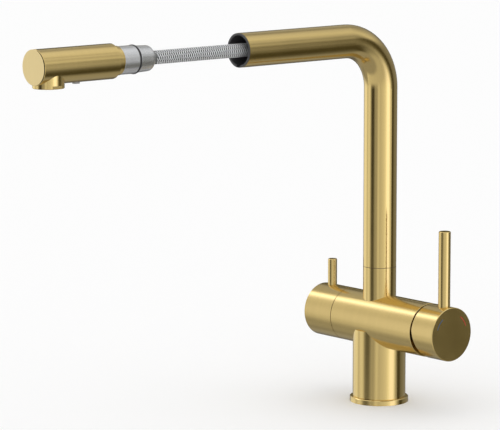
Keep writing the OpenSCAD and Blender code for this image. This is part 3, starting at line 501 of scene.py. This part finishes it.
def dress(finish: Finish, *nodes: str) -> None:
    """Gives CAD nodes their finish.

    Args:
        finish: The finish.
        nodes: The nodes' names.
    """
    for node in nodes:
        piece = NODES[node]
        if not piece.data.materials:
            piece.data.materials.append(None)
        for place in piece.material_slots:
            place.material = material_of(finish)
        LOG.info("dressed %s in %s", node, finish.name)


def put_in_order(mesh: bmesh.types.BMesh) -> None:
    """Lists vertices and faces by their place, because a spin's own order changes from run to run.

    Args:
        mesh: The mesh.
    """
    for index, vertex in enumerate(sorted(mesh.verts, key=lambda vertex: vertex.co[:])):
        vertex.index = index
    mesh.verts.sort()
    ranked = sorted(mesh.faces, key=lambda face: sorted(vertex.index for vertex in face.verts))
    for index, face in enumerate(ranked):
        face.index = index
    mesh.faces.sort()


def finish_piece(
    name: str, mesh: bmesh.types.BMesh, body: str, finishes: Iterable[Finish], smooth: bool = True
) -> bpy.types.Object:
    """Turns a bmesh into a piece that rides on a body.

    Args:
        name: The piece's name.
        mesh: Its shape, which is freed.
        body: The CAD body that it moves with.
        finishes: Its materials, in the order of the faces' material indices.
        smooth: Whether its faces are shaded smooth.

    Returns:
        The new object.
    """
    data = bpy.data.meshes.new(name)
    for face in mesh.faces:
        face.smooth = smooth
    put_in_order(mesh)
    mesh.to_mesh(data)
    mesh.free()
    piece = bpy.data.objects.new(name, data)
    bpy.context.scene.collection.objects.link(piece)
    for finish in finishes:
        data.materials.append(material_of(finish))
    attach(piece, body)
    LOG.info("made %s, which moves with %s", name, body)
    return piece


# Sub-assemblies


@dataclass(frozen=True)
class SoftLight:
    """A light of the room, with each edge as the places where it starts and is full or ends.

    The foot's places are rises in degrees, the sides' are turns from 0 to 1.
    """

    brightness: float
    foot: tuple[float, float]
    left: tuple[float, float]
    right: tuple[float, float]

    def shine(self, tree: Tree, seen: Wire, turn: Wire, rise: Wire) -> Wire:
        """Adds the light to the room.

        Args:
            tree: The world's tree.
            seen: The room so far.
            turn: Turn round the object, from 0 to 1.
            rise: Rise above the horizon, in degrees.

        Returns:
            The room with the light.
        """
        inside = rise.step(*self.foot) * turn.step(*self.left) * (1.0 - turn.step(*self.right))
        return tree.blend(inside, seen, grey(self.brightness))


@dataclass
class Studio:
    """Camera, light and floor."""

    eye: Vector = field(default_factory=lambda: Vector((1.87297, -1.73114, 0.55103)))
    aim: Vector = field(default_factory=lambda: Vector((-0.0890, -0.0680, 0.1555)))
    lens: float = 220.5
    sensor: float = 36.0
    roll: float = math.radians(-0.046)
    far: float = 20.0
    floor_reach: float = 6.0
    floor_brightness: float = 0.98

    # Brightness of the room at eye level, above it and below it, by the turn in degrees to the right of
    # the camera's side
    LEFT = (
        (-180, 0.1), (-166, 0.16), (-156, 0.7), (-140, 1.12), (-114, 1.2), (-106, 0.78), (-97, 0.65),
        (-84, 0.98), (-77, 0.8), (-69, 0.22), (-63, 0.03), (-50, 0.03), (-43, 0.26), (-37, 0.47),
        (-30, 0.38), (-25, 0.46), (-17, 0.86), (-12, 0.88), (-5, 0.62), (0, 0.72),
    )
    RIGHT = (
        (0, 0.72), (14, 0.82), (28, 1.0), (38, 1.3), (45, 1.7), (61, 1.7), (69, 1.0), (75, 0.6),
        (80, 0.26), (86, 0.1), (91, 0.06), (99, 0.07), (105, 0.22), (124, 0.26), (147, 0.3), (160, 0.2),
        (176, 0.1),
    )
    UPPER = (
        (-180, 0.4), (-167, 0.48), (-148, 0.5), (-138, 0.48), (-131, 1.3), (-123, 2.8), (-117, 1.5),
        (-110, 0.8), (-100, 0.75), (-80, 0.9), (60, 0.9), (79, 0.92), (82, 0.78), (86, 0.33), (89, 0.27),
        (93, 0.42), (101, 0.7), (106, 0.82), (115, 0.72), (128, 0.55), (145, 0.42), (157, 0.33),
        (164, 0.37), (170, 0.46), (176, 0.46),
    )
    LOWER = (
        (-180, 0.16), (-172, 0.22), (-164, 0.34), (-150, 0.4), (-136, 0.3), (-124, 0.4), (-117, 0.43),
        (-110, 0.37), (-104.5, 0.42), (-100.5, 0.7), (-97, 0.86), (-80, 0.75), (60, 0.6), (77, 0.25),
        (84, 0.07), (93, 0.07), (109, 0.2), (130, 0.3), (155, 0.4), (172, 0.16),
    )
    # Turns from 0 to 1 between which the left side goes over into the right one, at the camera's side
    SEAM = (0.499, 0.501)
    # Brightness of the ceiling and of the ground
    SKY = 0.95
    GROUND = 0.4
    # Rises in degrees between which each part of the room goes over into the next one
    TO_LOWER = (-7.0, -25.0)
    TO_UPPER = (21.0, 33.0)
    TO_SKY = (42.0, 56.0)
    TO_GROUND = (-42.0, -54.0)
    # Where the upper lights reach lower, from one turn on, and by how many degrees
    LIFT_FROM = (0.62, 0.68)
    LIFT = 10.0
    BOX = SoftLight(0.97, foot=(-18.0, -10.0), left=(0.222, 0.236), right=(0.27, 0.29))
    GLOW = SoftLight(0.95, foot=(27.0, 42.0), left=(0.715, 0.73), right=(0.745, 0.77))
    # Green and blue shares of a bright light, of the room and of its dark gaps
    COLD_FROM = 1.3
    COLD = (1.0, 1.1)
    PLAIN = (1.0, 0.95)
    WARM = (0.88, 0.4)
    WARM_UNDER = 0.15

    def camera(self) -> None:
        """Places the camera at the photograph's viewing angle."""
        data = bpy.data.cameras.new("camera")
        data.lens = self.lens
        data.sensor_width = self.sensor
        data.clip_end = self.far
        camera = bpy.data.objects.new("camera", data)
        turn = (self.aim - self.eye).to_track_quat("-Z", "Y").to_matrix().to_4x4()
        camera.matrix_world = Matrix.Translation(self.eye) @ turn @ Matrix.Rotation(self.roll, 4, "Z")
        bpy.context.scene.collection.objects.link(camera)
        bpy.context.scene.camera = camera

    def room(self) -> None:
        """A white room: metal reflects its soft boxes and the dark gaps between them."""
        world = bpy.data.worlds.new("studio")
        bpy.context.scene.world = world
        tree = Tree(world)
        x, y, z = tree.parts(tree.out(tree.add("ShaderNodeTexCoord"), "Generated"))
        # Turn round the object from the camera's side, 0 to 1 with the camera at 0.5
        side = self.eye - self.aim
        side.z = 0.0
        side.normalize()
        forward = x * side.x + y * side.y
        across = x * -side.y + y * side.x
        turn = across.math("ARCTAN2", forward) / (2.0 * math.pi) + 0.5
        rise = z.math("ARCSINE") * math.degrees(1.0)
        left, right, upper, lower = (
            turn.ramp(self.stops(levels)) for levels in (self.LEFT, self.RIGHT, self.UPPER, self.LOWER)
        )
        seen = tree.blend(turn.step(*self.SEAM), left, right)
        seen = self.BOX.shine(tree, seen, turn, rise)
        seen = tree.blend(rise.step(*self.TO_LOWER), seen, lower)
        lift = turn.step(*self.LIFT_FROM) * self.LIFT
        seen = tree.blend((rise + lift).step(*self.TO_UPPER), seen, upper)
        seen = self.GLOW.shine(tree, seen, turn, rise)
        seen = tree.blend(rise.step(*self.TO_SKY), seen, grey(self.SKY))
        seen = tree.blend(rise.step(*self.TO_GROUND), seen, grey(self.GROUND))
        reflected = tree.add("ShaderNodeBackground", inputs={"Color": seen, "Strength": 1.0})
        plain = tree.add("ShaderNodeBackground", inputs={"Color": (*grey(1.0), 1.0), "Strength": 1.0})
        path = tree.add("ShaderNodeLightPath")
        either = tree.add(
            "ShaderNodeMixShader",
            inputs={0: tree.out(path, "Is Glossy Ray"), 1: tree.out(plain), 2: tree.out(reflected)},
        )
        tree.surface(either, "ShaderNodeOutputWorld")

    def stops(self, levels: Sequence[tuple[float, float]]) -> list[tuple[float, Colour]]:
        """Ramp stops of a part of the room.

        Args:
            levels: Turns in degrees from the camera's side, each with its brightness.

        Returns:
            Places from 0 to 1, each with its colour.
        """
        made = []
        for turn, level in levels:
            green, blue = self.PLAIN
            if level > self.COLD_FROM:
                green, blue = self.COLD
            elif level <= self.WARM_UNDER:
                green, blue = self.WARM
            made.append(((turn + 180.0) / 360.0, (level, level * green, level * blue)))
        return made

    def floor(self) -> None:
        """A pale floor that the metal doesn't mirror."""
        mesh = bmesh.new()
        bmesh.ops.create_grid(mesh, x_segments=1, y_segments=1, size=self.floor_reach)
        data = bpy.data.meshes.new("floor")
        mesh.to_mesh(data)
        mesh.free()
        floor = bpy.data.objects.new("floor", data)
        bpy.context.scene.collection.objects.link(floor)
        material = bpy.data.materials.new("pale_floor")
        tree = Tree(material)
        colour = (*grey(self.floor_brightness), 1.0)
        tree.surface(tree.add("ShaderNodeBsdfDiffuse", inputs={"Color": colour, "Roughness": 0.0}))
        data.materials.append(material)
        floor.visible_glossy = False

    def build(self) -> None:
        """Builds the studio."""
        self.camera()
        self.room()
        self.floor()


@dataclass
class Base:
    """Base ring, its seal and the block with the water ports."""

    def build(self) -> None:
        """Dresses the base."""
        dress(BRASS_RING, "base_ring")
        dress(RUBBER, "base_seal")
        dress(TURNED_BRASS, "inlet_block", "hose_tail_fitting")


@dataclass
class ValveBody:
    """Cast body and the swivel's fixed pieces."""

    def build(self) -> None:
        """Dresses the body."""
        dress(BRASS_BODY, "valve_body")
        dress(TURNED_BRASS, "neck_insert")
        dress(BROWN_PLASTIC, "slip_ring")
        dress(RUBBER, "swivel_o_ring")
        dress(TURNED_STEEL, "swivel_circlip")


@dataclass
class MixerCartridge:
    """Cartridge of the mixer, its nut and its domed cover."""

    def build(self) -> None:
        """Dresses the cartridge."""
        dress(WHITE_PLASTIC, "cartridge_base", "cartridge_housing", "disc_carrier")
        dress(CERAMIC, "fixed_disc", "moving_disc")
        dress(RUBBER, "cartridge_seals")
        dress(GREY_PLASTIC, "spindle_guide")
        dress(TURNED_STEEL, "stem_pin", "mixer_stem")
        dress(TURNED_BRASS, "retaining_nut")
        dress(SHADED_BRASS_DOME, "dome_cap")


@dataclass
class MixerHandle:
    """Mixer handle with its lever pin and the two marks."""

    def build(self) -> None:
        """Dresses the handle."""
        dress(BRASS_BARREL, "mixer_hub")
        dress(BRASS_UPRIGHT, "mixer_pin")
        dress(TURNED_STEEL, "mixer_set_screw")
        dress(BLUE_ENAMEL, "cold_mark")
        dress(RED_ENAMEL, "hot_mark")


@dataclass
class FilterValve:
    """Filtered water valve and its handle."""

    def build(self) -> None:
        """Dresses the valve and its handle."""
        dress(TURNED_BRASS, "headwork_body")
        dress(RUBBER, "headwork_seal")
        dress(CERAMIC, "headwork_fixed_disc", "filter_disc")
        dress(WHITE_PLASTIC, "glide_ring")
        dress(TURNED_STEEL, "filter_spindle", "filter_set_screw")
        dress(BRASS_BARREL, "filter_hub")
        dress(BRASS_UPRIGHT, "filter_pin")


@dataclass
class Spout:
    """Bent spout with the sleeve in its mouth."""

    def build(self) -> None:
        """Dresses the spout."""
        dress(BRASS_SPOUT, "spout_tube")
        dress(DARK_PLASTIC, "mouth_sleeve")
        dress(WHITE_PLASTIC, "swivel_bushes")
        dress(TURNED_STEEL, "swivel_stop_screw")


@dataclass
class Braid:
    """Rubber tube under a braid of flat wire strands, over and under each other."""

    radius: float = 5.6 * MM
    bore: float = 4.4 * MM
    strands: int = 6
    crossing: float = 2.15 * MM
    strand_width: float = 1.25 * MM
    strand_thickness: float = 0.3 * MM
    wave: float = 0.22 * MM
    steps_per_wave: int = 6
    core_segments: int = 32
    core_step: float = 4.0 * MM
    core_least_steps: int = 12
    layer: str = WIRE.layer

    # Half section of a strand: place across its width, and share of its thickness
    SECTION = ((-1.0, 0.0), (-0.55, 0.9), (0.0, 1.0), (0.55, 0.9), (1.0, 0.0))

    @property
    def middle(self) -> float:
        """Radius of a strand's foot, between its crowns and its dips."""
        return self.radius - self.wave - self.strand_thickness

    def strand(self, hand: int, length: float) -> bmesh.types.BMesh:
        """One strand as a screw sweep about +Y, with its wave over and under the other hand's strands.

        Args:
            hand: 1 or -1, the way that it winds.
            length: The hose's length.

        Returns:
            The strand, from y = 0, with the height of each vertex as an attribute.
        """
        waves = length / self.crossing
        steps = round(waves * self.steps_per_wave)
        turn = 2.0 * math.pi * waves / self.strands
        # The strand's section is square to its run, so it is wider along the hose's axis
        lead_angle = math.atan2(self.crossing * self.strands, 2.0 * math.pi * self.middle)
        half = self.strand_width / 2.0 / math.cos(lead_angle)
        mesh = bmesh.new()
        section = [
            mesh.verts.new((self.middle + rise * self.strand_thickness, shift * half, 0.0))
            for shift, rise in self.SECTION
        ]
        edges = [mesh.edges.new(pair) for pair in zip(section, section[1:])]
        bmesh.ops.spin(
            mesh,
            geom=[*section, *edges],
            cent=ORIGIN,
            axis=Y_AXIS,
            dvec=(0.0, length / steps, 0.0),
            angle=hand * turn,
            steps=steps,
        )
        crown = mesh.verts.layers.float.new(self.layer)
        lowest = self.middle - self.wave
        for vertex in mesh.verts:
            across = Vector((vertex.co.x, 0.0, vertex.co.z))
            rise = hand * self.wave * math.cos(2.0 * math.pi * vertex.co.y / self.crossing)
            vertex.co += across.normalized() * rise
            # Height of the point, which the wire's finish turns into painted shade low in the dips
            vertex[crown] = (across.length + rise - lowest) / (self.radius - lowest)
        return mesh

    def core(self, whole: bmesh.types.BMesh, length: float) -> None:
        """Adds the rubber tube with its bore.

        Args:
            whole: The mesh to add to.
            length: The hose's length.
        """
        steps = max(self.core_least_steps, round(length / self.core_step))
        for radius in (self.middle, self.bore):
            start = len(whole.faces)
            ring = bmesh.ops.create_circle(whole, segments=self.core_segments, radius=radius)["verts"]
            bmesh.ops.rotate(
                whole, verts=ring, cent=ORIGIN, matrix=Matrix.Rotation(math.pi / 2.0, 3, "X")
            )
            edges = list({edge for vertex in ring for edge in vertex.link_edges})
            bmesh.ops.spin(
                whole,
                geom=[*ring, *edges],
                cent=ORIGIN,
                axis=Y_AXIS,
                dvec=(0.0, length / steps, 0.0),
                angle=0.0,
                steps=steps,
            )
            whole.faces.ensure_lookup_table()
            for face in whole.faces[start:]:
                face.material_index = 1

    def make(self, length: float) -> bmesh.types.BMesh:
        """Braid and tube along +Y from y = 0.

        Args:
            length: The hose's length.

        Returns:
            The hose's mesh, straight.
        """
        whole = bmesh.new()
        whole.verts.layers.float.new(self.layer)
        for hand in (1, -1):
            strand = self.strand(hand, length)
            scratch = bpy.data.meshes.new("strand")
            strand.to_mesh(scratch)
            strand.free()
            for place in range(self.strands):
                start = len(whole.verts)
                whole.from_mesh(scratch)
                whole.verts.ensure_lookup_table()
                bmesh.ops.rotate(
                    whole,
                    verts=whole.verts[start:],
                    cent=ORIGIN,
                    matrix=Matrix.Rotation(2.0 * math.pi * place / self.strands, 3, "Y"),
                )
            bpy.data.meshes.remove(scratch)
        bmesh.ops.recalc_face_normals(whole, faces=whole.faces[:])
        self.core(whole, length)
        return whole


@dataclass
class PullOutHose:
    """Braided hose: its bent stretch in the spout and the stretch that the head pulls out."""

    braid: Braid = field(default_factory=Braid)
    bend_radius: float = 50.0 * MM
    foot: float = 32.1 * MM
    still_end: float = -60.0 * MM
    ferrule_end: float = -242.7 * MM
    ferrule_foot: float = -260.9 * MM
    ferrule_radius: float = 5.5 * MM
    ferrule_room: float = 0.05 * MM
    ferrule_segments: int = 64
    crimp_depth: float = 0.45 * MM
    crimp_width: float = 0.5 * MM
    crimp_slope: float = 0.4 * MM
    line_end: float = -303.0 * MM
    travel: float = 128.8 * MM
    path_steps: int = 16

    # Places of the crimped grooves, and points of the rounded edge: inward and back from the end
    CRIMPS = (3.6 * MM, 1.9 * MM)
    EDGE = ((0.15 * MM, 0.1 * MM), (0.4 * MM, 0.0))

    def bent(self) -> bmesh.types.BMesh:
        """Bends a straight stretch for the spout: level, round the bend and down.

        Returns:
            The stretch.
        """
        level = -self.still_end - self.bend_radius
        arc = self.bend_radius * math.pi / 2.0
        drop = AXIS_HEIGHT - self.bend_radius - self.foot
        mesh = self.braid.make(level + arc + drop)
        for vertex in mesh.verts:
            run, up = vertex.co.y, vertex.co.z
            angle = min(max((run - level) / self.bend_radius, 0.0), math.pi / 2.0)
            out = self.bend_radius + up
            along = min(run - level, 0.0)
            down = max(run - level - arc, 0.0)
            vertex.co.y = -self.bend_radius + along + out * math.sin(angle)
            vertex.co.z = AXIS_HEIGHT - self.bend_radius - down + out * math.cos(angle)
        return mesh

    def ferrule(self) -> bmesh.types.BMesh:
        """Spins the ferrule about the hose's axis, with two crimped grooves and a rounded end.

        Returns:
            The ferrule.
        """
        length = self.ferrule_end - self.ferrule_foot
        low = self.ferrule_radius - self.crimp_depth
        bore = self.braid.bore + self.ferrule_room
        profile = [(bore, 0.0), (self.ferrule_radius, 0.0)]
        for crimp in self.CRIMPS:
            start = length - crimp
            foot = start + self.crimp_slope
            profile.append((self.ferrule_radius, start))
            profile.append((low, foot))
            profile.append((low, foot + self.crimp_width))
            profile.append((self.ferrule_radius, foot + self.crimp_width + self.crimp_slope))
        profile.extend((self.ferrule_radius - inward, length - back) for inward, back in self.EDGE)
        profile.append((bore, length))
        mesh = bmesh.new()
        ring = [mesh.verts.new((radius, along, 0.0)) for radius, along in profile]
        edges = [mesh.edges.new(pair) for pair in zip(ring, [*ring[1:], ring[0]])]
        bmesh.ops.spin(
            mesh,
            geom=[*ring, *edges],
            cent=ORIGIN,
            axis=Y_AXIS,
            angle=2.0 * math.pi,
            steps=self.ferrule_segments,
            use_merge=True,
        )
        bmesh.ops.recalc_face_normals(mesh, faces=mesh.faces[:])
        bmesh.ops.translate(mesh, verts=mesh.verts[:], vec=(0.0, self.ferrule_foot, AXIS_HEIGHT))
        return mesh

    def build(self) -> None:
        """Builds both stretches and the ferrule, and dresses the filtered water line in them."""
        still = finish_piece("braid_in_spout", self.bent(), "spout", (WIRE, HOSE_RUBBER))
        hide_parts("hose_run")
        ferrule = finish_piece("crimped_ferrule", self.ferrule(), "head", (CRIMPED_STEEL,), False)
        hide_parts("hose_ferrule")
        length = self.still_end - self.ferrule_end
        mesh = self.braid.make(length)
        bmesh.ops.translate(mesh, verts=mesh.verts[:], vec=(0.0, self.ferrule_end, AXIS_HEIGHT))
        piece = finish_piece("braided_hose", mesh, "spout", (WIRE, HOSE_RUBBER))
        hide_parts("hose_pull")
        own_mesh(piece)
        dress(WHITE_PLASTIC, "line_run", "line_pull")
        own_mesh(NODES["line_pull"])


@dataclass
class PullOutHead:
    """Pull-out head with its outlet, nozzle and the chromed spigot behind it."""

    def build(self) -> None:
        """Dresses the head."""
        dress(BRASS_HEAD, "head_shell")
        dress(BRASS_CAP, "head_end_cap")
        dress(BRASS_RING, "outlet_collar")
        dress(WHITE_PLASTIC, "head_waterway")
        dress(GREY_PLASTIC, "aerator", "filter_nozzle", "check_valve")
        dress(RUBBER, "aerator_washer", "spigot_o_ring", "hose_washer")
        dress(CHROMED, "tail_spigot", "hose_nut")
        dress(TURNED_STEEL, "hose_nipple")


def main() -> None:
    """Builds the studio and every sub-assembly."""
    logging.basicConfig(level=logging.INFO)
    bpy.context.scene.view_settings.view_transform = "Standard"
    for assembly in (
        Studio(), PullOutHose(), Base(), ValveBody(), MixerCartridge(), MixerHandle(), FilterValve(),
        Spout(), PullOutHead(),
    ):
        assembly.build()
        LOG.info("built %s", type(assembly).__name__)


if __name__ == "__main__":
    main()
